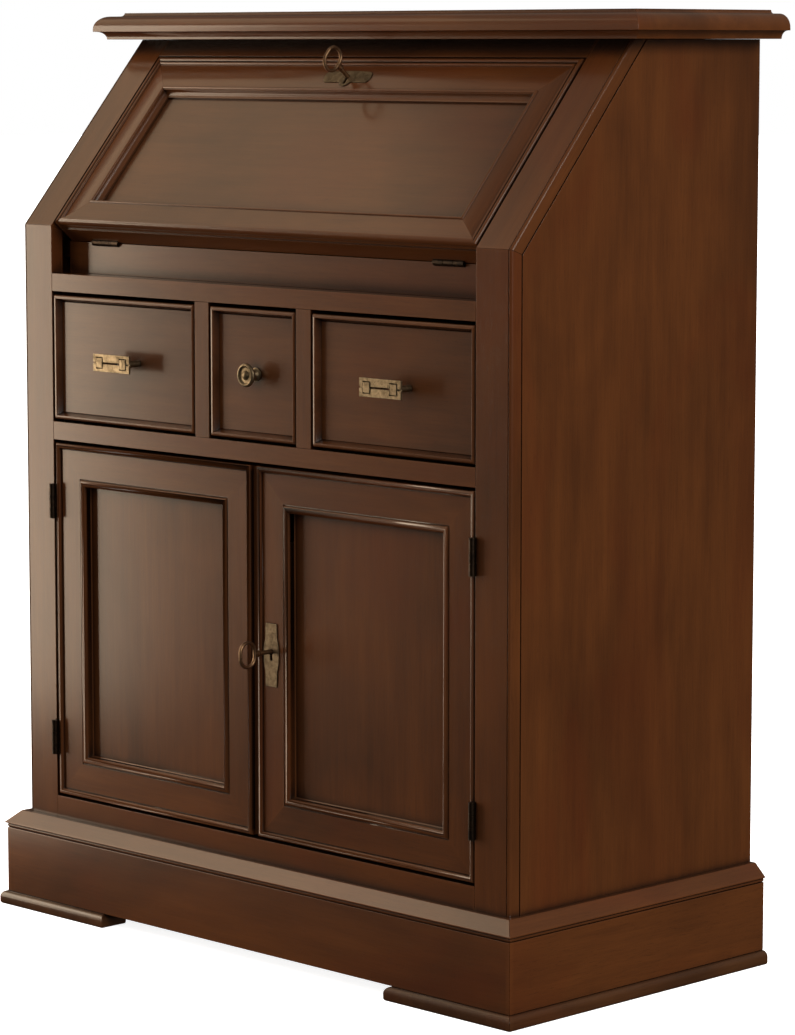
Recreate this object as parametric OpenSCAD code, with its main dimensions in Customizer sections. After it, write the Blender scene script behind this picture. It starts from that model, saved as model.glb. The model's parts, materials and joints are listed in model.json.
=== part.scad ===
// Secretary desk: a drop-front writing desk standing on a two-door cupboard.
// Millimetres. The front faces -Y, +X is to the right of a person facing the desk, +Z is up.
// The origin is on the floor, in the middle of the rectangle that the whole desk covers.
// Each sub-part is drawn from the face frame's front plane (y = 0), and placed() shifts it.

/* [Body] */
// Width over the side panels
body_w = 780; // [760:5:800]
// Depth from the face frame's front to the back
body_d = 387; // [384:1:400]
// Height of the top board's underside
carcass_h = 1015; // [1012:1:1025]
// Height of the writing surface with the flap open
writing_h = 784; // [783:0.5:785]
// Height where the sloping part of the sides begins
slope_foot_h = 803; // [802:0.5:804]
// How far behind the front the slope ends
slope_setback = 182.5; // [180:0.5:185]

/* [Face frame] */
// Width of the stiles
stile_w = 50; // [48:1:52]
// Thickness of the stiles
stile_t = 16.5; // [15:0.5:18]
// Thickness of the side panels and other main boards
board_t = 18; // [16:1:20]

/* [Top and base] */
// How far the top board stands out at each side
top_out = 42; // [36:1:46]
// Thickness of the top board
top_t = 31; // [28:1:34]
// Height of the plinth's top edge
plinth_top = 92; // [88:1:94]
// Thickness of the plinth boards
plinth_t = 19.7; // [18:0.1:22]
// How far the foot pads stand out past the plinth
foot_out = 7; // [5:0.5:9]
// Length of each foot pad's return along the front
foot_return = 186; // [160:2:220]

/* [Flap] */
// Thickness of the flap
flap_t = 33.3; // [32:0.1:34]
// Length of the flap up the slope
flap_l = 248; // [244:1:249]
// Gap at each side of the flap
flap_gap = 3.5; // [2:0.5:4]
// Length of a stay's lower arm
stay_arm = 150; // [140:2:154]

/* [Drawers and doors] */
// Height of the drawer fronts
drawer_h = 143.5; // [140:0.5:144]
// Width of the middle drawer's front
middle_drawer_w = 137; // [132:1:140]
// Length of the drawer boxes
drawer_l = 330; // [300:5:340]
// Height of the doors
door_h = 413; // [410:1:414]
// Thickness of the doors
door_t = 28; // [27:0.5:30]
// Width of a door frame's members with their moulding
door_rail_w = 50; // [48:1:54]

/* [Hidden] */

$fn = 40;

// Clearances
joint_gap = 0.2;  // glue line between boards
play = 0.3;       // between pieces that move past each other
running = 0.05;   // radial clearance of a pin in its hole

// Body
half_w = body_w / 2;
inner_x = half_w - board_t;       // inside of the side panels
open_x = half_w - stile_w;        // half the opening between the stiles
slope_angle = atan2(carcass_h - slope_foot_h, slope_setback);
slope_l = norm([carcass_h - slope_foot_h, slope_setback]);
bend_angle = (90 - slope_angle) / 2;
back_t = 6;
back_y = body_d - back_t;         // front of the back panel
foot_h = 15.4;

// Flap, along the slope from its foot
hinge_s = (writing_h - slope_foot_h + flap_t * cos(slope_angle)) / sin(slope_angle);
hinge_y = hinge_s * cos(slope_angle) + flap_t * sin(slope_angle);
flap_s = hinge_s + 0.8;           // the flap's lower edge
flap_top_s = flap_s + flap_l;
flap_w = 2 * (open_x - flap_gap);
flap_side_w = 48;
flap_top_w = 55;
flap_low_w = 39;
flap_recess = 9;
flap_panel_t = 8;
flap_key_s = 224.5;
flap_lock_x = 28;                 // half the lock's width
flap_lock_s = 207;                // its lower edge
flap_lock_depth = 20;             // of its front behind the flap's face
flap_bolt_x = 10;                 // half the bolt's width
flap_bolt_n = [-30.3, -23.7];     // the bolt's back and front
flap_bolt_travel = 8;

// Rows of the front, from the floor up
bottom_rail_top = 137;
door_z = 139.5;
deck_top = 577;
middle_rail_z = 556;
deck_z = 559;
drawer_z = 580;
upper_rail_z = 727.5;
upper_rail_top = 748;
hinge_rail_t = 17.4;
rail_t = 19;
panel_grip = 5.7;                 // of a panel in its frame's grooves

// Drawers
divider_w = 23;
drawer_side_gap = 1.8;
divider_x = middle_drawer_w / 2 + drawer_side_gap;
outer_x0 = divider_x + divider_w + drawer_side_gap;
outer_drawer_w = open_x - drawer_side_gap - outer_x0;
outer_drawer_x = outer_x0 + outer_drawer_w / 2;
drawer_front_t = 19;
drawer_bead_w = 8;
drawer_recess = 7;
drawer_box_z = 578;
drawer_box_h = 128;
drawer_board = 11;

// Doors
door_gap = 2;
door_meet = 5;                    // half the gap between the doors
door_w = open_x - door_gap - door_meet;
door_flat = 4;                    // how far the flat lies behind the bead
door_recess = 13;
door_panel_t = 6;
door_hinge_h = 40;
door_hinge_z = [207, 484.5];

// Hinges
knuckle_r = 3.5;
pin_r = 1.6;
leaf_t = 1.1;
door_pin_y = -knuckle_r - 0.2;
door_pin_x = open_x - door_gap / 2;
door_leaf_l = 18;
flap_hinge_x = 275;
flap_hinge_l = 45;
flap_leaf_l = 16.5;

// Locks and keys
door_key_x = 26;
door_key_z = 349;
door_key_reach = 36;              // from the wood to the middle of the bow
flap_key_reach = 31;
key_r = 2.5;
keyhole_w = 4;                    // of the slot below the round hole
plate_t = 1.2;
case_wall = 2;
bow_r = 10.5;
bow_wire = 2;

// Stays: the lower arm stays parallel to the flap and the upper arm to the line between the pivots
stay_x = 328;
arm_t = 2;
arm_w = 10;
stay_pin_r = 2.2;
stay_rise = 12;                   // of the lower pivot above the writing surface
stay_back = 180;                  // of the lower pivot behind the flap's hinge
stay_offset = 6.5;                // of the upper pivot off the flap's back

front_reach = door_key_reach + bow_r + bow_wire - door_flat;
middle_y = (body_d - front_reach) / 2;

wood = [0.34, 0.2, 0.12];
dark_wood = [0.26, 0.15, 0.09];
pale_wood = [0.55, 0.4, 0.26];
brass = [0.6, 0.5, 0.33];
bronze = [0.28, 0.21, 0.14];

// --- Helpers ---

// Points along an arc
function arc(cx, cy, r, from, to, n = 6) =
    [for (i = [0:n]) let (a = from + (to - from) * i / n) [cx + r * cos(a), cy + r * sin(a)]];

// An outline with its mirror image on the other side of the first axis's zero
function both_sides(points) =
    concat(points, [for (i = [len(points) - 1:-1:0]) [-points[i][0], points[i][1]]]);

// A range of values, shortened by the same amount at both ends
function shrunk(range, by) = [range[0] + by, range[1] - by];

// The y, at a height, of the line that runs the given depth inside the slope
function slope_y(z, depth) = (z - slope_foot_h + depth / cos(slope_angle)) / tan(slope_angle);

module placed() translate([0, -middle_y, 0]) children();

// x across, y up the slope, z out of the slope
module on_slope() translate([0, 0, slope_foot_h]) rotate([slope_angle, 0, 0]) children();

// x across, y up, z out of the front
module upright() rotate([90, 0, 0]) children();

// A board between two values of each coordinate
module board(x, y, z) {
    translate([x[0], y[0], z[0]]) cube([x[1] - x[0], y[1] - y[0], z[1] - z[0]]);
}

// An outline in y and z, run along x
module along_x(points, x0, x1) {
    translate([x0, 0, 0]) rotate([90, 0, 90]) linear_extrude(x1 - x0) polygon(points);
}

// An outline in x and z, run along y
module along_y(points, y0, y1) {
    translate([0, y1, 0]) rotate([90, 0, 0]) linear_extrude(y1 - y0) polygon(points);
}

module left_and_right() {
    children();
    mirror([1, 0, 0]) children();
}

// One mitred member of a frame: its outline gives depth against distance from the outer edge
module frame_member(length, width, side_widths, outline) {
    intersection() {
        along_x(outline, 0, length);
        translate([0, 0, -100]) linear_extrude(200) polygon([
            [joint_gap / 2, 0], [length - joint_gap / 2, 0],
            [length - side_widths[1] - joint_gap / 2, width],
            [side_widths[0] + joint_gap / 2, width]
        ]);
    }
}

// Four mitred members around a w by h frame: bottom, right, top and left, each with its own width
module mitred_frame(w, h, widths, outlines) {
    for (side = [0:3]) {
        length = side % 2 == 0 ? w : h;
        across = side % 2 == 0 ? h : w;
        rotate([0, 0, 90 * side]) translate([-length / 2, -across / 2, 0])
            frame_member(length, widths[side], [widths[(side + 3) % 4], widths[(side + 1) % 4]],
                outlines[side]);
    }
}

// --- Carcass ---

top_edge = concat(
    arc(3, 0, 9, 0, 90), [[0, 9]], [[0, 12]], arc(15, 12, 15, 180, 90, 8),
    [[23, 27]], arc(23, top_t, top_t - 27, 270, 360, 4));

module top_board() {
    reach = half_w + top_out;
    front = slope_setback - top_out + 2;
    color(wood) placed() intersection() {
        along_y([for (p = both_sides([for (e = top_edge) [reach - e[0], carcass_h + e[1]]])) p],
            front, body_d);
        along_x(concat([for (e = top_edge) [front + e[0], carcass_h + e[1]]],
            [[body_d, carcass_h + top_t], [body_d, carcass_h]]), -reach, reach);
    }
}

module side_panel() {
    depth = stile_t + joint_gap;
    top = carcass_h - joint_gap;
    placed() along_x([
        [depth, foot_h + joint_gap], [body_d, foot_h + joint_gap], [body_d, top],
        [slope_y(top, depth), top], [depth, slope_foot_h - depth * tan(bend_angle)]
    ], inner_x, half_w);
}

module side_panel_left() color(wood) mirror([1, 0, 0]) side_panel();
module side_panel_right() color(wood) side_panel();

module back_panel() {
    color(dark_wood) placed()
        board([-inner_x + joint_gap, inner_x - joint_gap], [back_y, body_d],
            [plinth_top, carcass_h - joint_gap]);
}

// A stile's section: width against depth, with a quirk and a bead on the outer corner
stile_section = let (bead = 3.5, quirk = 0.9) concat(
    [[open_x, 0], [half_w - bead - quirk, 0], [half_w - bead - quirk, 1.2], [half_w - bead, 1.2]],
    arc(half_w - bead, bead, bead, -90, 0),
    [[half_w, stile_t - 1.5], [half_w - 1.5, stile_t], [open_x, stile_t]]);

module front_stile() {
    over = stile_t + 5;
    bottom = foot_h + joint_gap;
    placed() intersection() {
        linear_extrude(carcass_h) polygon(stile_section);
        along_x([
            [-5, bottom], [-5, slope_foot_h + 5 * tan(bend_angle) - joint_gap / 2],
            [over, slope_foot_h - over * tan(bend_angle) - joint_gap / 2], [over, bottom]
        ], 0, half_w + 1);
    }
}

module slope_stile() {
    over = stile_t + 5;
    top = carcass_h - joint_gap;
    placed() intersection() {
        on_slope() along_y([for (p = stile_section) [p[0], -p[1]]], -20, slope_l + 40);
        along_x([
            [-5, slope_foot_h + 5 * tan(bend_angle) + joint_gap / 2],
            [over, slope_foot_h - over * tan(bend_angle) + joint_gap / 2],
            [body_d, slope_foot_h], [body_d, top], [-5, top]
        ], 0, half_w + 1);
    }
}

module front_stile_left() color(wood) mirror([1, 0, 0]) front_stile_right_solid();
module front_stile_right() color(wood) front_stile_right_solid();

// The heights between which a door hinge's pocket lies
function pocket(z) = [z - door_hinge_h / 2 - joint_gap, z + door_hinge_h / 2 + joint_gap];

// The front stile with pockets for the door hinges' leaves
module front_stile_right_solid() {
    difference() {
        front_stile();
        placed() for (z = door_hinge_z)
            board([open_x - 1, open_x + leaf_t + 0.1], [-1, stile_t + 1], pocket(z));
    }
}

module slope_stile_left() color(wood) mirror([1, 0, 0]) slope_stile();
module slope_stile_right() color(wood) slope_stile();

// The rail above the flap, with a lip behind it that the flap closes against and a slot for the bolt
module slope_header() {
    top = carcass_h - joint_gap;
    low = flap_top_s + 2;
    lip_d = flap_t + 0.7;
    color(wood) placed() difference() {
        intersection() {
            on_slope() along_x([
                [low, 0], [slope_l + 40, 0], [slope_l + 40, -lip_d - 10],
                [low - 14, -lip_d - 10], [low - 14, -lip_d], [low, -lip_d]
            ], -open_x + joint_gap, open_x - joint_gap);
            board([-open_x, open_x], [0, body_d], [slope_foot_h, top]);
        }
        on_slope() board([-flap_bolt_x - 1, flap_bolt_x + 1], [low - 1, low + flap_bolt_travel],
            [flap_bolt_n[0] - 1, flap_bolt_n[1] + 1]);
    }
}

module hinge_rail() {
    color(wood) placed() difference() {
        board([-open_x + joint_gap, open_x - joint_gap],
            [hinge_y + play, hinge_y + play + hinge_rail_t],
            [upper_rail_top + joint_gap, writing_h - joint_gap]);
        flap_knuckle_room();
        on_flap_pin() mirror([0, 0, 1]) flap_leaf_room();
    }
}

module upper_rail() {
    color(wood) placed() board([-open_x + joint_gap, open_x - joint_gap],
        [0, hinge_y + hinge_rail_t], [upper_rail_z, upper_rail_top]);
}

module middle_rail() {
    color(wood) placed() board([-open_x + joint_gap, open_x - joint_gap], [0, rail_t],
        [middle_rail_z, deck_top]);
}

module bottom_rail() {
    color(wood) placed() board([-open_x + joint_gap, open_x - joint_gap], [0, rail_t],
        [plinth_top, bottom_rail_top]);
}

// A shelf-like board between the side panels
module inner_board(y0, z0, z1) {
    placed() board([-inner_x + joint_gap, inner_x - joint_gap], [y0, back_y - joint_gap], [z0, z1]);
}

module writing_floor() {
    color(wood) inner_board(hinge_y + play + hinge_rail_t + joint_gap, writing_h - 20, writing_h);
}

module drawer_deck() color(pale_wood) inner_board(rail_t + joint_gap, deck_z, deck_top);

module drawer_dividers() {
    color(wood) placed() left_and_right()
        board([divider_x, divider_x + divider_w], [0, back_y - joint_gap],
            [deck_top + joint_gap, upper_rail_z - joint_gap]);
}

// Blocks that keep the outer drawers running straight
module drawer_guides() {
    color(pale_wood) placed() left_and_right()
        board([open_x - 1, inner_x - joint_gap], [stile_t + joint_gap, back_y - joint_gap],
            [deck_top + joint_gap, deck_top + 40]);
}

module cupboard_floor() {
    color(pale_wood) inner_board(rail_t + joint_gap, bottom_rail_top - board_t, bottom_rail_top);
}

shelf_top = 345;
shelf_front = 70;

module cupboard_shelf() {
    color(pale_wood) inner_board(shelf_front, shelf_top - board_t, shelf_top);
}

module shelf_pins() {
    r = 3;
    length = 8;
    inset = 40;
    color(brass) placed() left_and_right() for (y = [shelf_front + inset, back_y - inset])
        translate([inner_x - length, y, shelf_top - board_t - r - joint_gap])
            rotate([0, 90, 0]) cylinder(h = length, r = r);
}

// Open pigeonholes at the back of the writing space
insert_w = 644;
insert_front = 215;               // clears the back of the slope header
insert_h = 196;
insert_t = 9;
insert_bays = 4;

module pigeonhole_insert() {
    x0 = -insert_w / 2;
    bay = (insert_w - insert_t) / insert_bays;
    z0 = writing_h + joint_gap;
    color(pale_wood) placed() {
        for (z = [z0, z0 + insert_h - insert_t])
            board([x0, -x0], [insert_front, back_y - joint_gap], [z, z + insert_t]);
        for (i = [0:insert_bays])
            board([x0 + i * bay, x0 + i * bay + insert_t], [insert_front, back_y - joint_gap],
                [z0 + insert_t + joint_gap, z0 + insert_h - insert_t - joint_gap]);
        for (i = [0, insert_bays - 1])
            board([x0 + i * bay + insert_t + joint_gap, x0 + (i + 1) * bay - joint_gap],
                [insert_front + 8, back_y - joint_gap],
                [z0 + insert_h / 2 - insert_t / 2, z0 + insert_h / 2 + insert_t / 2]);
    }
}

// --- Plinth, base moulding and feet ---

// A strip of a moulding that runs along the front, mitred for the strips at the sides.
// Its outline gives height against distance out from the body, down to the given distance in.
module front_strip(outline, out, inward = 0) {
    reach = half_w + out;
    intersection() {
        along_x([for (p = outline) [-p[0], p[1]]], -reach, reach);
        linear_extrude(carcass_h) polygon(both_sides([
            [reach - joint_gap / 2, -out], [half_w - inward - joint_gap / 2, inward]
        ]));
    }
}

module side_strip(outline, out, inward = 0) {
    reach = half_w + out;
    intersection() {
        along_y([for (p = outline) [half_w + p[0], p[1]]], -out, body_d);
        linear_extrude(carcass_h) polygon([
            [reach, -out + joint_gap / 2], [reach, body_d],
            [half_w - inward, body_d], [half_w - inward, inward + joint_gap / 2]
        ]);
    }
}

// A narrow ledge and a slope down to a square nose, with a small bead tucked in under it
base_moulding = let (z = plinth_top + joint_gap) concat(
    [[joint_gap, z]], arc(17.6, z + 2.2, 2.2, -90, 60, 5), [[19, z + 4.8], [22, z + 4.8]],
    [[22, z + 6], [7.5, z + 20], [joint_gap, z + 20]]);

plinth_section = let (z = foot_h + joint_gap) concat(
    [[joint_gap, z], [plinth_t, z]], arc(plinth_t - 1, plinth_top - 1, 1, 0, 90),
    [[joint_gap, plinth_top]]);

foot_reach = plinth_t + foot_out;
foot_in = 10;
// The foot's round edge: distance from its outermost line against height
foot_nose = concat(arc(-3, 3, 3, -90, 0, 4), arc(-7, foot_h - 7, 7, 0, 90));
foot_section = concat([[-foot_in, 0]], [for (p = foot_nose) [foot_reach + p[0], p[1]]],
    [[-foot_in, foot_h]]);
foot_end = concat([[foot_return, 0]], [for (p = foot_nose) [-p[0], p[1]]],
    [[foot_return, foot_h]]);

module base_moulding_front() color(wood) placed() front_strip(base_moulding, 22);
module base_moulding_sides() color(wood) placed() left_and_right() side_strip(base_moulding, 22);
module plinth_front() color(wood) placed() front_strip(plinth_section, plinth_t);
module plinth_sides() color(wood) placed() left_and_right() side_strip(plinth_section, plinth_t);

// A foot pad: a run along the side and a short return along the front, round at its end too
module foot() {
    placed() {
        side_strip(foot_section, foot_reach, foot_in);
        intersection() {
            front_strip(foot_section, foot_reach, foot_in);
            translate([half_w + foot_reach - foot_return, 0, 0])
                along_y(foot_end, -foot_reach, foot_in);
        }
    }
}

module foot_left() color(dark_wood) mirror([1, 0, 0]) foot();
module foot_right() color(dark_wood) foot();

// --- Hinges ---

// Half a hinge. The pin lies along x and the leaf goes along +y, its face the given distance
// above the pin. The fixed half has the outer two knuckles and the pin, the moving half the middle one.
module hinge_half(length, leaf_l, moving, offset) {
    third = length / 3;
    tall = moving ? third - 2 * play : third - play;
    difference() {
        union() {
            for (k = moving ? [0] : [-1, 1]) translate([k * (third + play / 2), 0, 0]) {
                rotate([0, 90, 0]) cylinder(h = tall, r = knuckle_r, center = true);
                board([-tall / 2, tall / 2], [0, knuckle_r + 1], [offset, offset + leaf_t]);
            }
            board([-length / 2, length / 2], [knuckle_r + play, leaf_l], [offset, offset + leaf_t]);
            if (!moving)
                rotate([0, 90, 0]) cylinder(h = length - play, r = pin_r, center = true);
        }
        if (moving)
            rotate([0, 90, 0]) cylinder(h = 2 * length, r = pin_r + running, center = true);
    }
}

module fixed_half(length, leaf_l, offset) mirror([0, 0, 1]) hinge_half(length, leaf_l, false, offset);

// Stands a hinge drawn along x on end at each place of the right-hand door's hinges
module at_door_hinges() {
    placed() for (z = door_hinge_z)
        translate([door_pin_x, door_pin_y, z]) rotate([0, -90, 0]) children();
}

module door_hinge_leaves() {
    color(bronze) left_and_right() at_door_hinges()
        fixed_half(door_hinge_h, door_leaf_l, door_gap / 2 - 0.1);
}

module door_hinges() at_door_hinges() hinge_half(door_hinge_h, door_leaf_l, true, door_gap / 2);
module door_left_hinges() color(bronze) mirror([1, 0, 0]) door_hinges();
module door_right_hinges() color(bronze) door_hinges();

module on_flap_pin() {
    for (x = [-flap_hinge_x, flap_hinge_x])
        translate([x, hinge_y, writing_h]) children();
}

// Room for the flap hinges' knuckles
module flap_knuckle_room() {
    on_flap_pin() rotate([0, 90, 0])
        cylinder(h = flap_hinge_l + 1, r = knuckle_r + 0.5, center = true);
}

// Room for a flap hinge's leaf, which lies on the far side of the pin's plane
module flap_leaf_room() {
    board([-flap_hinge_l / 2 - play, flap_hinge_l / 2 + play], [0, flap_leaf_l + play],
        [-1, leaf_t + joint_gap]);
}

module flap_hinge_leaves() {
    color(bronze) placed() on_flap_pin() fixed_half(flap_hinge_l, flap_leaf_l, joint_gap);
}

module on_closed_leaf() {
    on_slope() for (x = [-flap_hinge_x, flap_hinge_x]) translate([x, hinge_s, -flap_t]) children();
}

module flap_hinges() {
    color(bronze) placed() on_closed_leaf() hinge_half(flap_hinge_l, flap_leaf_l, true, 0);
}

// --- Flap ---

// Scales an outline's distances from the outer edge, so that beads meet at unequal mitres
function widened(outline, from, to) = [for (p = outline) [p[0] * to / from, p[1]]];

// Inner edge of a flap member: a bead, a cove down to the panel and the groove that holds it
flap_inner_edge = let (w = flap_side_w, groove = w - panel_grip - 0.3,
        low = -flap_recess - flap_panel_t - 0.2)
    concat([[w - 10, 0]], arc(w - 8, 0, 1.8, 180, 0, 5), [[w - 5.5, 0], [w - 5.5, -1]],
        arc(w, -1, 5.5, 180, 270, 5), [[w, -flap_recess], [groove, -flap_recess], [groove, low],
        [w, low], [w, -flap_t]]);
flap_outline = concat([[0, -flap_t], [0, -0.5]], arc(2.6, -0.5, 2.4, 180, 0, 6),
    [[5.2, -1.4], [6, -1.4]], arc(7.8, -0.2, 1.7, 180, 0, 5), [[10, 0]], flap_inner_edge);

// The lower edge is a round nose under a cove
flap_nose_outline = concat([[0, -flap_t], [0, -12], [2, -12], [2, -9.5]],
    arc(7.5, -4.6, 6, 215, 90, 8), [[9.5, 1.1], [9.5, 0]], flap_inner_edge);

flap_widths = [flap_low_w, flap_side_w, flap_top_w, flap_side_w];

module flap_frame() {
    outlines = [for (i = [0:3]) widened(i == 0 ? flap_nose_outline : flap_outline,
        flap_side_w, flap_widths[i])];
    color(wood) placed() difference() {
        on_slope() translate([0, flap_s + flap_l / 2, 0])
            mitred_frame(flap_w, flap_l, flap_widths, outlines);
        flap_knuckle_room();
        on_closed_leaf() flap_leaf_room();
        on_slope() {
            board([-flap_lock_x - joint_gap, flap_lock_x + joint_gap],
                [flap_lock_s - joint_gap, flap_top_s + 1], [-flap_t - 1, -flap_lock_depth + joint_gap]);
            keyhole(flap_key_s, [-flap_lock_depth - 2, 1], key_r + 2 * play);
        }
    }
}

// A keyhole through a plate that faces up the local z axis, at a height along y
module keyhole(y, z, r) {
    translate([0, y, z[0]]) cylinder(h = z[1] - z[0], r = r);
    board([-keyhole_w / 2, keyhole_w / 2], [y - 10, y], z);
}

module flap_panel() {
    low_grip = panel_grip * flap_low_w / flap_side_w;
    color(wood) placed() on_slope()
        board(shrunk([-flap_w / 2, flap_w / 2], flap_side_w - panel_grip),
            [flap_s + flap_low_w - low_grip, flap_top_s - flap_top_w + panel_grip],
            [-flap_recess - flap_panel_t - 0.1, -flap_recess - 0.1]);
}

// A shaped plate with a rounded swelling below its keyhole
module flap_escutcheon() {
    half_l = 37;
    half_h = 7.5;
    swelling = arc(0, -4.5, 8.5, -86, -24, 6);
    color(brass) placed() on_slope() translate([0, flap_key_s, 0]) difference() {
        linear_extrude(plate_t) polygon(both_sides(concat(swelling, [
            [11, -half_h + 0.6], [14, -half_h], [half_l - 4, -half_h], [half_l - 1, -half_h + 3],
            [half_l, 0], [half_l - 1, half_h - 3], [half_l - 4, half_h - 0.5], [12, half_h + 0.5]
        ])));
        keyhole(0, [-1, plate_t + 1], key_r + 0.5);
    }
}

// A lock case with room inside for the key's bit and the bolt. The key turns about the z axis,
// which is out of the wood, and the bolt leaves through a hole over the given three ranges
module lock_case(x, y, z, bolt_hole) {
    difference() {
        board(x, y, z);
        board(shrunk(x, case_wall), shrunk(y, case_wall), shrunk(z, case_wall));
        board(bolt_hole[0], bolt_hole[1], bolt_hole[2]);
        keyhole(0, [z[1] - case_wall - 1, z[1] + 1], key_r + play);
    }
}

module flap_lock() {
    top = flap_top_s - joint_gap - flap_key_s;
    color(brass) placed() on_slope() translate([0, flap_key_s, 0])
        lock_case([-flap_lock_x, flap_lock_x], [flap_lock_s - flap_key_s, top],
            [-flap_t + 0.1, -flap_lock_depth],
            [shrunk([-flap_bolt_x, flap_bolt_x], -play), [top - case_wall - 1, top + 1],
             shrunk(flap_bolt_n, -play)]);
}

module flap_lock_bolt() {
    color(brass) placed() on_slope()
        board([-flap_bolt_x, flap_bolt_x], [flap_key_s + 9.5, flap_top_s - 0.4], flap_bolt_n);
}

// A key lying along y, its bow towards -y: reach to the bow's middle, depth to the end of its bit
module key(reach, depth, bit_r) {
    color(bronze) {
        translate([0, -reach + bow_r, 0]) rotate([-90, 0, 0])
            cylinder(h = reach - bow_r + depth, r = key_r);
        for (collar = [[1, 3.5, 1.4], [6, 1.8, 0.9]])
            translate([0, -reach + bow_r + collar[0], 0]) rotate([-90, 0, 0])
                cylinder(h = collar[1], r = key_r + collar[2]);
        board([-1, 1], [depth - 7, depth - 1], [-bit_r, 0]);
        translate([0, -reach, 0]) rotate([90, 0, 90]) bow();
    }
}

// A ring of wire, a little longer than it is wide
module bow() {
    half = 3;
    for (turn = [0, 180])
        rotate([0, 0, turn]) {
            translate([0, half, 0]) rotate_extrude(angle = 180) translate([bow_r, 0]) circle(r = bow_wire);
            translate([bow_r, -half, 0]) rotate([-90, 0, 0]) cylinder(h = 2 * half, r = bow_wire);
        }
}

module flap_key() {
    placed() on_slope() translate([0, flap_key_s, 0]) rotate([-90, 0, 0])
        key(flap_key_reach, 30.5, 8);
}

// --- Stays ---

stay_link = norm([stay_back, stay_rise]);
stay_slant = atan2(stay_rise, stay_back);
// The upper pivot's distance from the hinge is the lower arm's length
flap_pivot_s = hinge_s + sqrt(stay_arm * stay_arm - stay_offset * stay_offset);

// An arm along +y with a hole at its root, and a second hole at its tip if asked for
module arm(length, tip_hole) {
    difference() {
        plain_arm(length);
        cylinder_x(stay_pin_r + running);
        if (tip_hole) translate([0, length, 0]) cylinder_x(stay_pin_r + 2 * play);
    }
}

module cylinder_x(r, h = 3 * arm_t) {
    translate([arm_t / 2, 0, 0]) rotate([0, 90, 0]) cylinder(h = h, r = r, center = true);
}

module plain_arm(length) {
    for (y = [0, length]) translate([0, y, 0]) rotate([0, 90, 0]) cylinder(h = arm_t, r = arm_w / 2);
    translate([0, 0, -arm_w / 2 + 0.7]) cube([arm_t, length, arm_w - 1.4]);
}

module at_lower_pivot() {
    translate([0, hinge_y + stay_back, writing_h + stay_rise]) children();
}

module at_upper_pivot() {
    translate([0, 0, slope_foot_h]) rotate([slope_angle, 0, 0])
        translate([0, flap_pivot_s, -flap_t - stay_offset]) children();
}

// Direction of the lower arm with the flap closed
rest_lean = slope_angle + atan2(-stay_offset, flap_pivot_s - hinge_s);

module stay_lower_arms() {
    color(brass) placed() left_and_right() at_lower_pivot() rotate([rest_lean, 0, 0])
        translate([stay_x, 0, 0]) arm(stay_arm, true);
}

module stay_upper_arms() {
    color(brass) placed() left_and_right() at_upper_pivot() rotate([stay_slant - slope_angle, 0, 0])
        translate([stay_x + arm_t + play, 0, 0]) {
            arm(stay_link, false);
            translate([-arm_t - play - 1, stay_link, 0]) rotate([0, 90, 0])
                cylinder(h = arm_t + play + 1.5, r = stay_pin_r);
        }
}

// Standing plates that hold the lower arms' pins
module stay_brackets() {
    plate_x = stay_x + arm_t + play;
    foot_w = 14;
    y = shrunk([hinge_y + stay_back, hinge_y + stay_back], -9);
    z = writing_h + joint_gap;
    color(brass) placed() left_and_right() {
        board([plate_x, plate_x + arm_t], y, [z, writing_h + stay_rise + 6]);
        board([plate_x, plate_x + foot_w], y, [z, z + arm_t]);
        at_lower_pivot() translate([stay_x - 1, 0, 0]) rotate([0, 90, 0])
            cylinder(h = arm_t + play + 2, r = stay_pin_r);
    }
}

module flap_stay_brackets() {
    foot_w = 12;
    s = shrunk([flap_pivot_s, flap_pivot_s], -8);
    n = -flap_t - joint_gap;
    color(brass) placed() left_and_right() on_slope() {
        board([stay_x, stay_x + arm_t], s, [-flap_t - stay_offset - 5, n]);
        board([stay_x - foot_w, stay_x + arm_t], s, [n - arm_t, n]);
        translate([stay_x, flap_pivot_s, -flap_t - stay_offset]) rotate([0, 90, 0])
            cylinder(h = 2 * arm_t + play + 1, r = stay_pin_r);
    }
}

// --- Drawers ---

// A round outer edge, a narrow flat and a slope down to the panel
drawer_bead = let (r = 2.6) concat([[0, -drawer_front_t], [0, -r]], arc(r, -r, r, 180, 90, 4),
    [[4.5, 0], [4.7, -1.2], [drawer_bead_w, -drawer_recess], [drawer_bead_w, -drawer_front_t]]);

// A drawer front: a flat panel inside a mitred bead
module drawer_front(x, w) {
    color(wood) placed() translate([x, 0, drawer_z + drawer_h / 2]) upright() {
        mitred_frame(w, drawer_h, [for (i = [0:3]) drawer_bead_w], [for (i = [0:3]) drawer_bead]);
        edge = drawer_bead_w + joint_gap;
        board(shrunk([-w / 2, w / 2], edge), shrunk([-drawer_h / 2, drawer_h / 2], edge),
            [-drawer_front_t, -drawer_recess]);
    }
}

// A drawer box behind a front: two sides, a back and a bottom
module drawer_box(x, w) {
    y0 = drawer_front_t + joint_gap;
    y1 = y0 + drawer_l;
    half = w / 2 - 2;
    z0 = drawer_box_z;
    z1 = drawer_box_z + drawer_box_h;
    color(pale_wood) placed() translate([x, 0, 0]) {
        for (side = [-1, 1]) translate([side * (half - drawer_board / 2), 0, 0])
            board([-drawer_board / 2, drawer_board / 2], [y0, y1], [z0, z1]);
        inside = half - drawer_board - joint_gap;
        board([-inside, inside], [y1 - drawer_board, y1], [z0 + 8, z1]);
        board([-inside, inside], [y0, y1 - drawer_board - joint_gap], [z0 + 2, z0 + 8]);
    }
}

pull_w = 62;
pull_h = 20;
pull_y = -17;                     // front of the plate
pull_t = 2.6;
post_x = 20;
post_w = 9.5;
post_h = 11;

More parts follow.
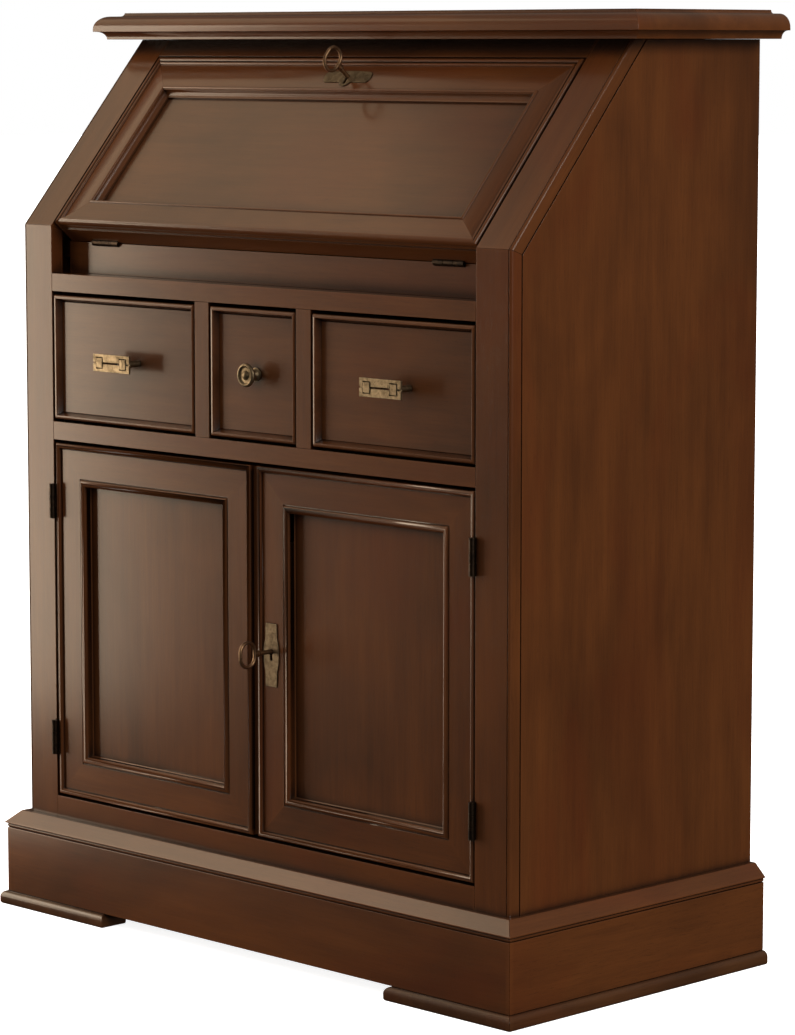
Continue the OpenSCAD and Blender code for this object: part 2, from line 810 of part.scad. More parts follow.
// A flat plate pull: two bars with a slot between them, which is shallower at the ends, and
// square heads in cut-outs near the ends
module pull(x) {
    window = 1.2;
    color(brass) placed() translate([x, 0, drawer_z + drawer_h / 2]) upright()
        translate([0, 0, -pull_y - pull_t]) {
            difference() {
                board([-pull_w / 2, pull_w / 2], [-pull_h / 2, pull_h / 2], [0, pull_t]);
                board([-post_x, post_x], [-1, 1], [-1, pull_t + 1]);
                board([-pull_w / 2 - 1, pull_w / 2 + 1], [-1, 1], [1, pull_t + 1]);
                for (side = [-1, 1])
                    board([side * post_x - post_w / 2 - window, side * post_x + post_w / 2 + window],
                        [-post_h / 2 - window, post_h / 2 + window], [1, pull_t + 1]);
            }
            for (side = [-1, 1]) {
                board([side * post_x - post_w / 2, side * post_x + post_w / 2],
                    [-post_h / 2, post_h / 2], [0, pull_t + 0.6]);
                translate([side * post_x, 0, pull_y - drawer_recess + pull_t])
                    cylinder(h = -pull_y + drawer_recess - pull_t, r = 3.6);
            }
        }
}

knob_section = concat(
    [[0, 0], [7.5, 0], [7.5, 1.5]], arc(10.5, 6.5, 6, 235, 150, 6),
    [[6.5, 13]], arc(10.5, 15.5, 2.6, 240, 450, 8),
    [[9.6, 17.2], [8.4, 16]], arc(0, 12.5, 6.5, 35, 90, 6));

module knob(x) {
    color(brass) placed() translate([x, drawer_recess, drawer_z + drawer_h / 2]) upright()
        rotate_extrude($fn = 64) polygon(knob_section);
}

module drawer_left_front() drawer_front(-outer_drawer_x, outer_drawer_w);
module drawer_left_box() drawer_box(-outer_drawer_x, outer_drawer_w);
module drawer_left_pull() pull(-outer_drawer_x);
module drawer_middle_front() drawer_front(0, middle_drawer_w);
module drawer_middle_box() drawer_box(0, middle_drawer_w);
module drawer_middle_knob() knob(0);
module drawer_right_front() drawer_front(outer_drawer_x, outer_drawer_w);
module drawer_right_box() drawer_box(outer_drawer_x, outer_drawer_w);
module drawer_right_pull() pull(outer_drawer_x);

// --- Doors ---

// A door member: an edge bead and quirk, the flat, an inner bead, a drop and the panel's groove
door_outline = let (w = door_rail_w, groove = w - panel_grip - 0.3,
        low = -door_recess - door_panel_t - 0.2)
    concat([[0, -door_t]], arc(3.4, -3.4, 3.4, 180, 0, 8),
        [[7, -5], [7.8, -5], [7.8, -door_flat], [w - 10.6, -door_flat]],
        [[w - 10.2, -door_flat - 1]], arc(w - 5.4, -6, 4.2, 165, 0, 8),
        [[w - 1.2, -door_recess + 1], [w, -door_recess],
        [groove, -door_recess], [groove, low], [w, low], [w, -door_t]]);

// The middle of the right-hand door, x across from its own middle, y up, z out of the front
module on_door() {
    placed() translate([door_meet + door_w / 2, 0, door_z + door_h / 2]) upright() children();
}

module door_frame() {
    difference() {
        on_door() mitred_frame(door_w, door_h, [for (i = [0:3]) door_rail_w],
            [for (i = [0:3]) door_outline]);
        placed() for (z = door_hinge_z)
            board([door_pin_x - door_gap / 2 - leaf_t - 0.1, open_x], [-1, door_leaf_l],
                pocket(z));
    }
}

module door_panel() {
    hidden = door_rail_w - panel_grip;
    on_door() board(shrunk([-door_w / 2, door_w / 2], hidden),
        shrunk([-door_h / 2, door_h / 2], hidden),
        [-door_recess - door_panel_t - 0.1, -door_recess - 0.1]);
}

// The left-hand door carries a strip that covers the gap between the doors
module door_left_frame() {
    color(wood) {
        mirror([1, 0, 0]) door_frame();
        placed() board([-door_meet + joint_gap, 2], [6, door_t], [door_z + 1, door_z + door_h - 1]);
    }
}

module door_left_panel() color(wood) mirror([1, 0, 0]) door_panel();
module door_right_panel() color(wood) door_panel();

module door_right_frame() {
    color(wood) difference() {
        door_frame();
        at_door_key() keyhole(0, [-door_t - 1, 1], key_r + 2 * play);
    }
}

// A long plate with shoulders, wider in the middle
module door_escutcheon() {
    half_h = 35;
    color(brass) placed() translate([door_key_x, 0, door_key_z - 4]) upright()
        translate([0, 0, -door_flat]) difference() {
            linear_extrude(plate_t) polygon(both_sides([
                [8.5, -half_h], [9, -half_h + 4], [9.5, -half_h + 18], [10.5, -half_h + 20], [12, -8],
                [12, 8], [10.5, half_h - 20], [9.5, half_h - 18], [9, half_h - 4], [8.5, half_h]
            ]));
            keyhole(4, [-1, plate_t + 1], key_r + 0.5);
        }
}

door_bolt_z = [12, 22];           // above the key
door_bolt_n = [-37.5, -31.5];     // the bolt's back and front
door_bolt_x = [-19.7, 20];        // from the key towards the other door and away from it
door_lock_x = [-20, 28];
door_lock_z = [-17, 28];
door_lock_t = 13;

// The door's key, with x across, y up and z out of the front
module at_door_key() placed() translate([door_key_x, 0, door_key_z]) upright() children();

module door_lock() {
    back = -door_t - joint_gap;
    color(brass) at_door_key()
        lock_case(door_lock_x, door_lock_z, [back - door_lock_t, back],
            [[door_lock_x[0] - 1, door_lock_x[0] + case_wall + 1], shrunk(door_bolt_z, -play),
             shrunk(door_bolt_n, -play)]);
}

module door_lock_bolt() color(brass) at_door_key() board(door_bolt_x, door_bolt_z, door_bolt_n);

module door_key() {
    placed() translate([door_key_x, door_flat, door_key_z]) key(door_key_reach, 34, 9.5);
}

// A magnet block under the drawer deck that holds the left-hand door shut
module door_catch() {
    color(bronze) placed() board([-50, -20], [door_t + 0.5, door_t + 16],
        [deck_z - 18, deck_z - joint_gap]);
}

top_board();
side_panel_left();
side_panel_right();
back_panel();
front_stile_left();
front_stile_right();
slope_stile_left();
slope_stile_right();
slope_header();
hinge_rail();
upper_rail();
middle_rail();
bottom_rail();
writing_floor();
pigeonhole_insert();
drawer_deck();
drawer_dividers();
drawer_guides();
cupboard_floor();
cupboard_shelf();
shelf_pins();
base_moulding_front();
base_moulding_sides();
plinth_front();
plinth_sides();
foot_left();
foot_right();
flap_frame();
flap_panel();
flap_hinges();
flap_hinge_leaves();
flap_escutcheon();
flap_lock();
flap_lock_bolt();
flap_key();
stay_brackets();
stay_lower_arms();
stay_upper_arms();
flap_stay_brackets();
drawer_left_front();
drawer_left_box();
drawer_left_pull();
drawer_middle_front();
drawer_middle_box();
drawer_middle_knob();
drawer_right_front();
drawer_right_box();
drawer_right_pull();
door_left_frame();
door_left_panel();
door_left_hinges();
door_right_frame();
door_right_panel();
door_right_hinges();
door_hinge_leaves();
door_escutcheon();
door_lock();
door_lock_bolt();
door_key();
door_catch();
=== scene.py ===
"""Looks of the secretary desk: stained wood, aged metal, studio and camera.

Everything is in metres in the row frame: the front faces -Y and the origin is on the floor.
"""

import json
import math

import bpy
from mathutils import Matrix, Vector

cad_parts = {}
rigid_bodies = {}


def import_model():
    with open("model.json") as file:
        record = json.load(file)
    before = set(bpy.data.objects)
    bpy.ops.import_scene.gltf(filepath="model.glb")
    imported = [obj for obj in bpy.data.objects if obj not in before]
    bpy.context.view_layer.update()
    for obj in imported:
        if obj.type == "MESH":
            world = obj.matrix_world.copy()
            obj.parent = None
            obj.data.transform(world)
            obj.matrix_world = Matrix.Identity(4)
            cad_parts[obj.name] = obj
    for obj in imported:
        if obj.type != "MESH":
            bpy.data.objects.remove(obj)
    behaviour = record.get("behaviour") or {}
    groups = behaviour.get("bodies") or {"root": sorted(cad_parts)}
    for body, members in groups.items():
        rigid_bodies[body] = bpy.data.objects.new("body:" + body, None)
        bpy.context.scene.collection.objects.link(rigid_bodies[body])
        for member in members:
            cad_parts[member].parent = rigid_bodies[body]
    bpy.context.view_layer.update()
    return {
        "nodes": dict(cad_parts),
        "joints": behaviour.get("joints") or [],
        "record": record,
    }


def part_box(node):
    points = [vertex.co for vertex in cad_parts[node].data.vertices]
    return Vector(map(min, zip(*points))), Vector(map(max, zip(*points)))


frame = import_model()
nodes = frame["nodes"]
slots = {part["node"]: part["material_slot"] for part in frame["record"]["subparts"]}
MM = 0.001
OCCLUSION_SAMPLES = 6
CREASE = math.radians(32)  # edges steeper than this stay sharp, and are eased


# --- Node graphs ---


class Graph:
    """A node tree that is built by calls: each input takes a value, a node or a socket."""

    def __init__(self, tree):
        self.tree = tree

    def feed(self, socket, value):
        if isinstance(value, bpy.types.Node):
            value = value.outputs[0]
        if isinstance(value, bpy.types.NodeSocket):
            self.tree.links.new(value, socket)
        else:
            socket.default_value = value

    def node(self, kind, inputs=None, **settings):
        made = self.tree.nodes.new(kind)
        for name, value in settings.items():
            setattr(made, name, value)
        for key, value in (inputs or {}).items():
            self.feed(made.inputs[key], value)
        return made

    def math(self, operation, a, b=0.0, clamp=False):
        return self.node("ShaderNodeMath", {0: a, 1: b}, operation=operation, use_clamp=clamp)

    def scaled(self, vector, scale):
        return self.node("ShaderNodeVectorMath", {0: vector, 1: scale}, operation="MULTIPLY")

    def noise(self, vector, scale, detail=2.0, roughness=0.5, distortion=0.0):
        return self.node(
            "ShaderNodeTexNoise",
            {
                "Vector": vector,
                "Scale": scale,
                "Detail": detail,
                "Roughness": roughness,
                "Distortion": distortion,
            },
        ).outputs["Fac"]

    def range(self, value, low, high, to_low=0.0, to_high=1.0):
        """Runs from to_low to to_high as value runs from low to high, and stays there."""
        return self.node(
            "ShaderNodeMapRange", {0: value, 1: low, 2: high, 3: to_low, 4: to_high}, clamp=True
        )

    def mix(self, factor, a, b):
        return self.node("ShaderNodeMix", {0: factor, 6: a, 7: b}, data_type="RGBA").outputs[2]

    def blended(self, *parts):
        """The sum of (value, share) pairs."""
        total = self.math("MULTIPLY", *parts[0])
        for part in parts[1:]:
            total = self.math("ADD", total, self.math("MULTIPLY", *part))
        return total

    def occlusion(self, distance, inside=False):
        """How shut in the surface is: 0 in the open, 1 in a corner. Inside, it finds outer edges."""
        made = self.node(
            "ShaderNodeAmbientOcclusion",
            {"Distance": distance},
            samples=OCCLUSION_SAMPLES,
            inside=inside,
            only_local=inside,
        )
        return self.math("SUBTRACT", 1.0, made.outputs["AO"])


def linear(colour):
    """A colour written as #rrggbb, in the linear values that shaders take."""
    parts = [int(colour[i : i + 2], 16) / 255 for i in (1, 3, 5)]
    return (*(p / 12.92 if p <= 0.04045 else ((p + 0.055) / 1.055) ** 2.4 for p in parts), 1.0)


def new_group(name, inputs, outputs):
    """An empty shader group with the named sockets, and its input and output nodes."""
    tree = bpy.data.node_groups.new(name, "ShaderNodeTree")
    for side, sockets in (("INPUT", inputs), ("OUTPUT", outputs)):
        for socket, kind in sockets.items():
            tree.interface.new_socket(socket, in_out=side, socket_type="NodeSocket" + kind)
    graph = Graph(tree)
    return graph, graph.node("NodeGroupInput"), graph.node("NodeGroupOutput")


# --- Wood ---

# how far corners gather glaze and painted shade, and edges wear and get a painted highlight
GLAZE_AND_SHADE_REACH = 22 * MM
EDGE_REACH = 5 * MM
# the colour of the glaze and of the painted shade in corners
GLAZE_AND_SHADE_COLOUR = "#1a0f0a"
BARE_ROUGHNESS = 0.36
# the rings' heart lies outside the board
HEART = (0, 0.31, 0.17)
RING_PITCH = 190


def along(g, at, stretch):
    """The vector with its x shortened, which draws a pattern out along the grain."""
    return g.scaled(at, (stretch, 1, 1))


def growth_rings(g, at):
    """A wave from -1 to 1 across the rings, which are bent a little."""
    off = along(g, g.node("ShaderNodeVectorMath", {0: at, 1: HEART}, operation="ADD"), 0.04)
    radius = g.node("ShaderNodeVectorMath", {0: off}, operation="LENGTH").outputs["Value"]
    bent = g.math("MULTIPLY", g.noise(along(g, at, 0.5), 3.5, 2.0), 0.2)
    return g.math("SINE", g.math("MULTIPLY", g.math("ADD", radius, bent), RING_PITCH))


def wood_group():
    """Stained wood whose grain runs along the vector's x, darker in corners from glaze and painted shade,
    lighter on edges from wear and a painted highlight.
    """
    g, given, out = new_group(
        "wood",
        {
            "Vector": "Vector",
            "Dark": "Color",
            "Middle": "Color",
            "Light": "Color",
            "Warm": "Color",
            "Glaze and shade": "Float",
            "Wear and highlight": "Float",
        },
        {"Color": "Color", "Roughness": "Float", "Height": "Float"},
    )
    at = given.outputs["Vector"]

    ring = g.range(growth_rings(g, at), -1.0, 1.0)
    streak = g.noise(along(g, at, 0.07), 75, 4.0, 0.6, 0.3)
    fibre = g.noise(along(g, at, 0.035), 520, 3.0, 0.6)
    pore = g.range(g.noise(along(g, at, 0.05), 1500, 1.0), 0.6, 0.72)
    patch = g.noise(along(g, at, 0.55), 6.5, 3.0, 0.5, 0.7)
    brush = g.noise(along(g, at, 0.12), 30, 3.0, 0.6)

    tone = g.blended((ring, 0.08), (streak, 0.56), (fibre, 0.36))
    colour = g.mix(g.range(tone, 0.27, 0.73), given.outputs["Middle"], given.outputs["Light"])
    dark_patch = g.range(g.blended((patch, 0.88), (brush, 0.12)), 0.42, 0.72)
    colour = g.mix(g.math("MULTIPLY", dark_patch, 0.5), colour, given.outputs["Dark"])
    blush = g.range(g.noise(along(g, at, 0.5), 5.5, 3.0, 0.6, 0.8), 0.5, 0.7)
    colour = g.mix(g.math("MULTIPLY", blush, 0.4), colour, given.outputs["Warm"])
    colour = g.mix(g.math("MULTIPLY", pore, 0.25), colour, given.outputs["Dark"])

    # glaze that was wiped off the flats and stayed in the corners, and painted shade in corners, recesses
    # and the gaps between parts
    corner_shade_and_glaze = g.range(g.occlusion(GLAZE_AND_SHADE_REACH), 0.14, 0.66)
    glaze_and_shade_smear = g.range(g.math("ADD", corner_shade_and_glaze, g.math("MULTIPLY", brush, 0.26)), 0.13, 0.8)
    glaze_and_shade = g.math("MULTIPLY", glaze_and_shade_smear, given.outputs["Glaze and shade"], clamp=True)
    colour = g.mix(glaze_and_shade, colour, linear(GLAZE_AND_SHADE_COLOUR))

    # thin stain on edges that hands and cloths rub, and a painted highlight on rounded edges and beads
    edge = g.range(g.occlusion(EDGE_REACH, inside=True), 0.2, 0.6)
    wear_and_highlight = g.math("MULTIPLY", edge, g.range(brush, 0.35, 0.65, 0.25, 1.0))
    colour = g.mix(g.math("MULTIPLY", wear_and_highlight, given.outputs["Wear and highlight"]), colour, given.outputs["Light"])

    rough = g.math("ADD", BARE_ROUGHNESS, g.math("MULTIPLY", g.math("SUBTRACT", patch, 0.5), 0.12))
    rough = g.math("ADD", rough, g.math("MULTIPLY", glaze_and_shade, 0.22))
    g.feed(out.inputs["Color"], colour)
    g.feed(out.inputs["Roughness"], rough)
    g.feed(out.inputs["Height"], g.blended((fibre, 0.5), (pore, -0.8), (streak, 0.6)))
    return g.tree


WOOD = wood_group()
STAINED = {
    "Dark": "#341c10",
    "Middle": "#65391c",
    "Light": "#7c4722",
    "Warm": "#6e3217",
    # how strongly glaze and painted shade darken the corners
    "Glaze and shade": 0.92,
    # how much edges lighten, from wear and a painted highlight
    "Wear and highlight": 0.6,
}
FOOT = STAINED | {"Dark": "#22140c", "Middle": "#50301c", "Light": "#6e4628", "Warm": "#5a2c16"}
INNER = {
    "Dark": "#7a5734",
    "Middle": "#a57c50",
    "Light": "#bd9467",
    "Warm": "#ab7846",
    # how strongly glaze and painted shade darken the corners
    "Glaze and shade": 0.35,
    # how much edges lighten, from wear and a painted highlight
    "Wear and highlight": 0.2,
}
DOOR_MEMBERS = (50 * MM, 50 * MM, 50 * MM)  # side, top and bottom members' widths
FLAP_MEMBERS = (48 * MM, 55 * MM, 39 * MM)


def slope_angle():
    """The flap's slope from level. Its bolt slides up the slope."""
    joints = {joint["name"]: joint for joint in frame["joints"]}
    run = Vector(joints["flap_bolt_slide"]["axis"])
    return math.atan2(run.z, run.y)


SLOPE = slope_angle()


def object_point(g):
    return g.node("ShaderNodeTexCoord").outputs["Object"]


def turned(g, vector, order):
    """The vector's coordinates in another order, so that the grain's axis comes first."""
    parts = g.node("ShaderNodeSeparateXYZ", {0: vector})
    return g.node("ShaderNodeCombineXYZ", {i: parts.outputs["XYZ".index(c)] for i, c in enumerate(order)})


def off_slope(g, vector):
    """The vector with its y run up the slope."""
    return g.node("ShaderNodeVectorRotate", {"Vector": vector, "Angle": -SLOPE}, rotation_type="X_AXIS")


def grain_x(g):
    return object_point(g)


def grain_y(g):
    return turned(g, object_point(g), "YXZ")


def grain_z(g):
    return turned(g, object_point(g), "ZXY")


def grain_slope_x(g):
    return off_slope(g, object_point(g))


def grain_slope_y(g):
    return turned(g, off_slope(g, object_point(g)), "YXZ")


def framed(g, at, centre, half, widths, upright):
    """Grain along each member of a mitred frame: along x in the top and bottom members, and
    along the other axis of the frame's plane (z if upright, or y) in the side members. The
    widths are the members', and half is half of the frame's size each way."""
    parts = g.node("ShaderNodeSeparateXYZ", {0: at})
    tall = parts.outputs["Z" if upright else "Y"]
    across = g.math("ABSOLUTE", g.math("SUBTRACT", parts.outputs["X"], centre[0]))
    up = g.math("SUBTRACT", tall, centre[1])
    side_room = g.math("DIVIDE", g.math("SUBTRACT", half[0], across), widths[0])
    top_room = g.math("DIVIDE", g.math("SUBTRACT", half[1], up), widths[1])
    low_room = g.math("DIVIDE", g.math("ADD", half[1], up), widths[2])
    at_side = g.math("LESS_THAN", side_room, g.math("MINIMUM", top_room, low_room))
    return g.node(
        "ShaderNodeMix",
        {0: at_side, 4: at, 5: turned(g, at, "ZXY" if upright else "YXZ")},
        data_type="VECTOR",
    ).outputs[1]


def door_frame_grain(name):
    low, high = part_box(name)
    centre = ((low.x + high.x) / 2, (low.z + high.z) / 2)
    half = ((high.x - low.x) / 2, (high.z - low.z) / 2)
    return lambda g: framed(g, object_point(g), centre, half, DOOR_MEMBERS, True)


def flap_frame_grain(g):
    low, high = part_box("flap_frame")
    run = Vector((0, math.cos(SLOPE), math.sin(SLOPE)))
    ends = [Vector((0, v.co.y, v.co.z)).dot(run) for v in nodes["flap_frame"].data.vertices]
    centre = (0.0, (min(ends) + max(ends)) / 2)
    half = (high.x, (max(ends) - min(ends)) / 2)
    return framed(g, off_slope(g, object_point(g)), centre, half, FLAP_MEMBERS, False)


def bumped(g, shader, height, strength, distance):
    bump = g.node("ShaderNodeBump", {"Height": height, "Strength": strength, "Distance": distance})
    g.feed(shader.inputs["Normal"], bump)


def new_material(name):
    """A material with only a Principled shader, as a graph and the shader."""
    material = bpy.data.materials.new(name)
    material.use_nodes = True
    g = Graph(material.node_tree)
    g.tree.nodes.clear()
    shader = g.node("ShaderNodeBsdfPrincipled")
    g.feed(g.node("ShaderNodeOutputMaterial").inputs["Surface"], shader.outputs["BSDF"])
    return material, g, shader


def dressed(g, shader, tree, look):
    """Gives the shader the colour and roughness of a group with the look's values. Returns the
    group's node."""
    group = g.node("ShaderNodeGroup", node_tree=tree)
    for key, value in look.items():
        g.feed(group.inputs[key], linear(value) if isinstance(value, str) else value)
    g.feed(shader.inputs["Base Color"], group.outputs["Color"])
    g.feed(shader.inputs["Roughness"], group.outputs["Roughness"])
    return group


seeds = iter(range(1, 1000))


def wood_material(name, grain, look, coat):
    """A wood material of its own for each piece, so that no two boards share a figure."""
    material, g, shader = new_material(name)
    seed = next(seeds)
    # a place in the wood that no other board is cut from
    place = (0.731 * seed, 0.477 * seed % 5, 0.593 * seed % 7)
    at = g.node("ShaderNodeVectorMath", {0: grain(g), 1: place}, operation="ADD")
    wood = dressed(g, shader, WOOD, look)
    g.feed(wood.inputs["Vector"], at)
    bumped(g, shader, wood.outputs["Height"], strength=0.25, distance=0.4 * MM)
    shader.inputs["Specular IOR Level"].default_value = 0.08
    shader.inputs["Coat Weight"].default_value = coat
    shader.inputs["Coat Roughness"].default_value = 0.18
    return material


# --- Metal ---

# how far corners gather grime, and edges are rubbed bright
GRIME_REACH = 4 * MM
RUB_REACH = 0.9 * MM
GRIME_COLOUR = "#120d08"


def metal_group():
    """Aged metal: patchy tarnish, grime in corners, bright rubbed edges, fine scratches."""
    g, given, out = new_group(
        "aged_metal",
        {"Clean": "Color", "Tarnish": "Color", "Rubbed": "Color", "Rough": "Float", "Rub": "Float"},
        {"Color": "Color", "Roughness": "Float", "Height": "Float"},
    )
    at = object_point(g)
    patch = g.noise(at, 120, 4.0, 0.6, 0.8)
    speck = g.noise(at, 900, 2.0, 0.6)
    scratch = g.noise(along(g, at, 0.08), 1700, 2.0, 0.5)
    tarnish = g.range(g.blended((patch, 0.75), (speck, 0.25)), 0.4, 0.62)
    grime = g.range(g.occlusion(GRIME_REACH), 0.3, 0.85)
    edge = g.range(g.occlusion(RUB_REACH, inside=True), 0.3, 0.7)
    colour = g.mix(tarnish, given.outputs["Clean"], given.outputs["Tarnish"])
    colour = g.mix(g.math("MULTIPLY", grime, 0.75), colour, linear(GRIME_COLOUR))
    rub = g.math("MULTIPLY", edge, g.range(patch, 0.4, 0.6, 0.4, 1.0))
    colour = g.mix(g.math("MULTIPLY", rub, given.outputs["Rub"]), colour, given.outputs["Rubbed"])
    rough = g.math("ADD", given.outputs["Rough"], g.math("MULTIPLY", tarnish, 0.18))
    rough = g.math("ADD", rough, g.math("MULTIPLY", grime, 0.25), clamp=True)
    g.feed(out.inputs["Color"], colour)
    g.feed(out.inputs["Roughness"], rough)
    g.feed(out.inputs["Height"], g.blended((speck, 0.6), (scratch, 0.4)))
    return g.tree


METAL = metal_group()
METALS = {
    "antique_brass": {
        "Clean": "#ac9a7e",
        "Tarnish": "#75664f",
        "Rubbed": "#e8dcc4",
        "Rough": 0.36,
        "Rub": 0.8,
    },
    "aged_plate": {
        "Clean": "#8c7c66",
        "Tarnish": "#6c5e4c",
        "Rubbed": "#b8a88c",
        "Rough": 0.42,
        "Rub": 0.5,
    },
    "dark_bronze": {
        "Clean": "#4a3c30",
        "Tarnish": "#2b2420",
        "Rubbed": "#8a7258",
        "Rough": 0.36,
        "Rub": 0.6,
    },
    "key_bronze": {
        "Clean": "#ab8a6a",
        "Tarnish": "#6e5440",
        "Rubbed": "#f0d0a8",
        "Rough": 0.33,
        "Rub": 0.6,
    },
}


def metal_material(name, look):
    material, g, shader = new_material(name)
    metal = dressed(g, shader, METAL, look)
    bumped(g, shader, metal.outputs["Height"], strength=0.2, distance=0.1 * MM)
    shader.inputs["Metallic"].default_value = 1.0
    return material


metals = {name: metal_material(name, look) for name, look in METALS.items()}


# --- Edges ---


def joined_edges(name, reach):
    """Joins the faces of a CAD mesh along their edges and shades only shallow ones smooth. It
    closes the seams that are narrower than the reach."""
    tree = bpy.data.node_groups.new(name, "GeometryNodeTree")
    for side in ("INPUT", "OUTPUT"):
        tree.interface.new_socket("Geometry", in_out=side, socket_type="NodeSocketGeometry")
    g = Graph(tree)
    given = g.node("NodeGroupInput")
    plain = g.node("GeometryNodeRemoveAttribute", {"Geometry": given, "Name": "custom_normal"})
    joined = g.node("GeometryNodeMergeByDistance", {"Geometry": plain, "Distance": reach})
    # a face whose every edge has three faces or more lies inside, between two members
    beside = g.node("GeometryNodeInputMeshEdgeNeighbors")
    inner = g.node("FunctionNodeCompare", {2: beside, 3: 2}, data_type="INT", operation="GREATER_THAN")
    hollow = g.node("GeometryNodeDeleteGeometry", {"Geometry": joined, "Selection": inner}, domain="FACE")
    hollow.mode = "ONLY_FACE"
    smooth = g.node("GeometryNodeSetShadeSmooth", {"Geometry": hollow, "Shade Smooth": True}, domain="FACE")
    angle = g.node("GeometryNodeInputMeshEdgeAngle").outputs["Unsigned Angle"]
    steep = g.node("FunctionNodeCompare", {0: angle, 1: CREASE}, operation="GREATER_THAN")
    creased = g.node(
        "GeometryNodeSetShadeSmooth",
        {"Geometry": smooth, "Selection": steep, "Shade Smooth": False},
        domain="EDGE",
    )
    g.feed(g.node("NodeGroupOutput").inputs[0], creased)
    return tree


JOINED = joined_edges("joined_edges", 0.01 * MM)
GLUED = joined_edges("glued_edges", 0.32 * MM)  # wider than the seams at a frame's mitres
FLAT = math.radians(0.5)  # faces that meet at less than this become one


def soften(obj, width, glued=False):
    """Eases every sharp edge of a CAD node. A glued one has no seams between its members."""
    obj.modifiers.new("joined", "NODES").node_group = GLUED if glued else JOINED
    flat = obj.modifiers.new("flat", "DECIMATE")
    flat.decimate_type = "DISSOLVE"
    flat.angle_limit = FLAT
    eased = obj.modifiers.new("eased", "BEVEL")
    eased.width = width
    eased.segments = 2
    eased.limit_method = "ANGLE"
    eased.angle_limit = CREASE
    eased.use_clamp_overlap = True
    eased.harden_normals = True


# --- Materials on the CAD nodes ---


# the grain runs along x in the nodes that aren't here
GRAINS = {
    "side_panel_left": grain_z,
    "side_panel_right": grain_z,
    "front_stile_left": grain_z,
    "front_stile_right": grain_z,
    "slope_stile_left": grain_slope_y,
    "slope_stile_right": grain_slope_y,
    "slope_header": grain_slope_x,
    "drawer_guides": grain_y,
    "drawer_dividers": grain_z,
    "base_moulding_sides": grain_y,
    "plinth_sides": grain_y,
    "foot_left": grain_y,
    "foot_right": grain_y,
    "flap_frame": flap_frame_grain,
    "flap_panel": grain_slope_x,
    "door_left_frame": door_frame_grain("door_left_frame"),
    "door_right_frame": door_frame_grain("door_right_frame"),
    "door_left_panel": grain_z,
    "door_right_panel": grain_z,
}
# weights of the shaders' clear coats
LACQUER = 0.95
SEALER = 0.1
GLUED_UP = ("door_left_frame", "door_right_frame")
WOOD_EASE = 0.4 * MM
METAL_EASE = 0.25 * MM

for name, node in nodes.items():
    slot = slots[name]
    if slot in metals:
        node.material_slots[0].material = metals["key_bronze" if name.endswith("_key") else slot]
        soften(node, METAL_EASE)
        continue
    look = INNER if slot == "inner_wood" else FOOT if name.startswith("foot") else STAINED
    coat = SEALER if slot == "inner_wood" else LACQUER
    material = wood_material("wood_" + name, GRAINS.get(name, grain_x), look, coat)
    node.material_slots[0].material = material
    soften(node, WOOD_EASE, name in GLUED_UP)


# --- Studio ---

FLOOR_HALF = 30.0


def floor():
    """A pale floor that throws no light on the desk. The world's light from below stands for
    its bounce."""
    corners = [(x * FLOOR_HALF, y * FLOOR_HALF, 0) for x, y in ((-1, -1), (1, -1), (1, 1), (-1, 1))]
    mesh = bpy.data.meshes.new("floor")
    mesh.from_pydata(corners, [], [(0, 1, 2, 3)])
    made = bpy.data.objects.new("floor", mesh)
    bpy.context.scene.collection.objects.link(made)
    material, g, shader = new_material("floor_paint")
    mottle = g.noise(object_point(g), 3.0, 3.0)
    g.feed(shader.inputs["Base Color"], g.mix(mottle, (0.9, 0.9, 0.9, 1), (0.94, 0.94, 0.94, 1)))
    shader.inputs["Roughness"].default_value = 0.8
    shader.inputs["Specular IOR Level"].default_value = 0.1
    shader.inputs["Emission Color"].default_value = (1, 1, 1, 1)
    shader.inputs["Emission Strength"].default_value = 0.6
    mesh.materials.append(material)
    made.visible_glossy = False
    made.visible_diffuse = False
    made.visible_shadow = False
    return made


def world():
    """White behind the desk, and dimmer light for the desk itself, with the least from below."""
    made = bpy.data.worlds.new("studio")
    made.use_nodes = True
    bpy.context.scene.world = made
    g = Graph(made.node_tree)
    g.tree.nodes.clear()
    path = g.node("ShaderNodeLightPath")
    direction = g.node("ShaderNodeTexCoord").outputs["Generated"]
    up = g.node("ShaderNodeSeparateXYZ", {0: direction}).outputs["Z"]

    def sky(colour, strength):
        return g.node("ShaderNodeBackground", {"Color": colour, "Strength": strength})

    seen = sky((1, 1, 1, 1), 1.0)
    soft = sky((1, 0.97, 0.93, 1), g.range(up, -0.5, 0.4, 0.05, 0.34))
    mirrored = sky((1, 0.85, 0.7, 1), g.range(up, -0.1, 0.6, 0.03, 0.16))
    around = g.node("ShaderNodeMixShader", {0: path.outputs["Is Glossy Ray"], 1: soft, 2: mirrored})
    both = g.node("ShaderNodeMixShader", {0: path.outputs["Is Camera Ray"], 1: around, 2: seen})
    g.feed(g.node("ShaderNodeOutputWorld").inputs["Surface"], both)


def panel_light(name, heading, distance, height, size, aim_height, radiance, tint, sheen=False):
    """A soft box: heading is its angle from the front's outward normal, towards +X. With sheen
    it shows only in gloss."""
    light = bpy.data.lights.new(name, "AREA")
    light.shape = "RECTANGLE"
    light.size, light.size_y = size
    light.energy = radiance * math.pi * size[0] * size[1]
    light.color = tint
    made = bpy.data.objects.new(name, light)
    angle = math.radians(heading)
    made.location = (distance * math.sin(angle), -distance * math.cos(angle), height)
    aim = Vector((0, 0, aim_height)) - made.location
    made.rotation_euler = aim.to_track_quat("-Z", "Y").to_euler()
    made.visible_diffuse = not sheen
    bpy.context.scene.collection.objects.link(made)
    return made


def lit_only(light, name, objects):
    """Lets the light reach only these objects."""
    group = bpy.data.collections.new(name)
    for obj in objects:
        group.objects.link(obj)
    light.light_linking.receiver_collection = group


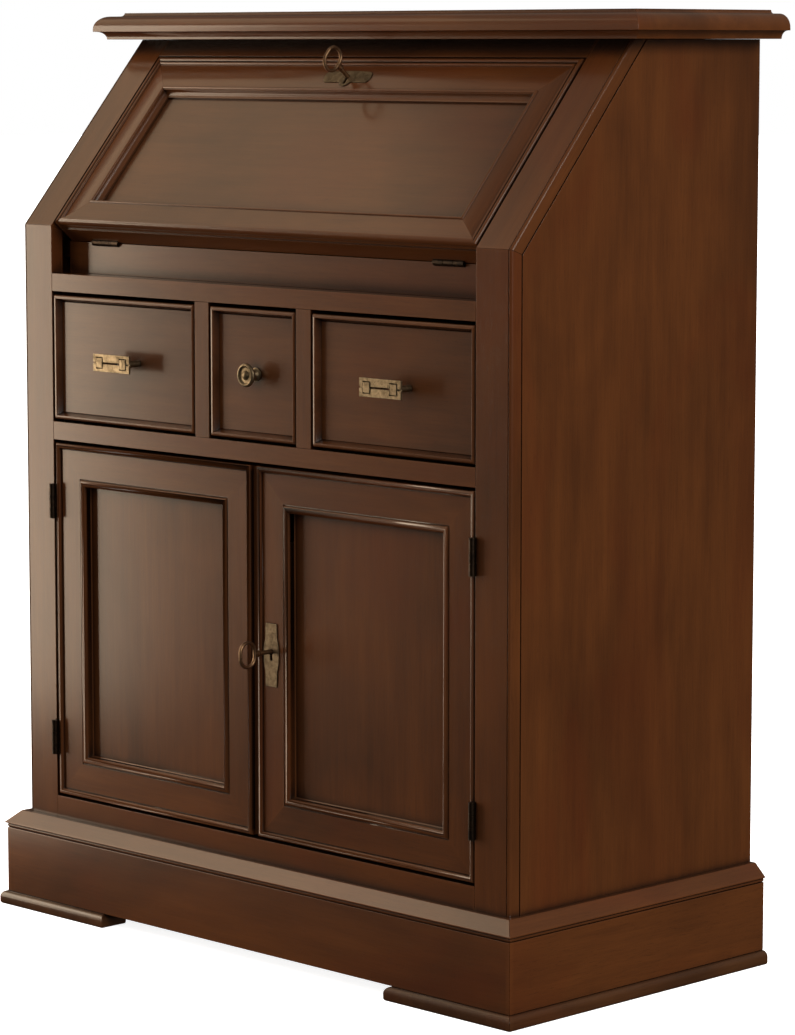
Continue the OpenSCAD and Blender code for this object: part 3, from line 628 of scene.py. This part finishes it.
def floor_light(target):
    """An even light from above that only the floor gets, and that the desk doesn't block."""
    light = bpy.data.lights.new("overhead", "SUN")
    light.energy = 4.6
    light.angle = math.radians(120)
    made = bpy.data.objects.new("overhead", light)
    bpy.context.scene.collection.objects.link(made)
    lit_only(made, "only_floor", [target])
    made.light_linking.blocker_collection = made.light_linking.receiver_collection


def studio():
    world()
    panel_light(
        "window",
        heading=-63,
        distance=3.0,
        height=0.86,
        size=(1.3, 2.2),
        aim_height=0.85,
        radiance=5.4,
        tint=(1.0, 0.82, 0.61),
    )
    panel_light(
        "left_top",
        heading=-75,
        distance=3.15,
        height=3.0,
        size=(2.0, 1.7),
        aim_height=0.9,
        radiance=0.85,
        tint=(1.0, 0.78, 0.5),
    )
    panel_light(
        "right_fill",
        heading=85,
        distance=4.2,
        height=2.0,
        size=(2.2, 2.2),
        aim_height=0.6,
        radiance=4.7,
        tint=(1.0, 0.96, 0.88),
    )
    ledge = panel_light(
        "ledge_gleam",
        heading=-76,
        distance=2.75,
        height=2.05,
        size=(1.3, 1.9),
        aim_height=0.1,
        radiance=1.1,
        tint=(1.0, 0.88, 0.66),
        sheen=True,
    )
    lit_only(ledge, "mouldings", [nodes["base_moulding_front"], nodes["base_moulding_sides"]])
    panel_light(
        "edge_gleam",
        heading=60,
        distance=3.2,
        height=2.4,
        size=(0.7, 2.2),
        aim_height=0.6,
        radiance=1.0,
        tint=(1.0, 0.8, 0.6),
        sheen=True,
    )
    floor_light(floor())
    for light in bpy.context.scene.objects:
        if light.type == "LIGHT":
            light.visible_camera = False
    bpy.context.scene.view_settings.view_transform = "Standard"


CAMERA_LENS = 130.81  # mm, on a 36 mm sensor
CAMERA_AT = (3.01737, -2.93309, 1.0084)
CAMERA_DROP = 0.124948  # radians, how far it looks down
CAMERA_TURN = 0.790744  # radians, how far it is turned from square to the front


def camera():
    """The photographer's view, from the right of the front and near the desk's top."""
    data = bpy.data.cameras.new("camera")
    data.lens = CAMERA_LENS
    data.sensor_width = 36
    made = bpy.data.objects.new("camera", data)
    made.location = CAMERA_AT
    made.rotation_euler = (math.pi / 2 - CAMERA_DROP, 0, CAMERA_TURN)
    bpy.context.scene.collection.objects.link(made)
    bpy.context.scene.camera = made


camera()
studio()
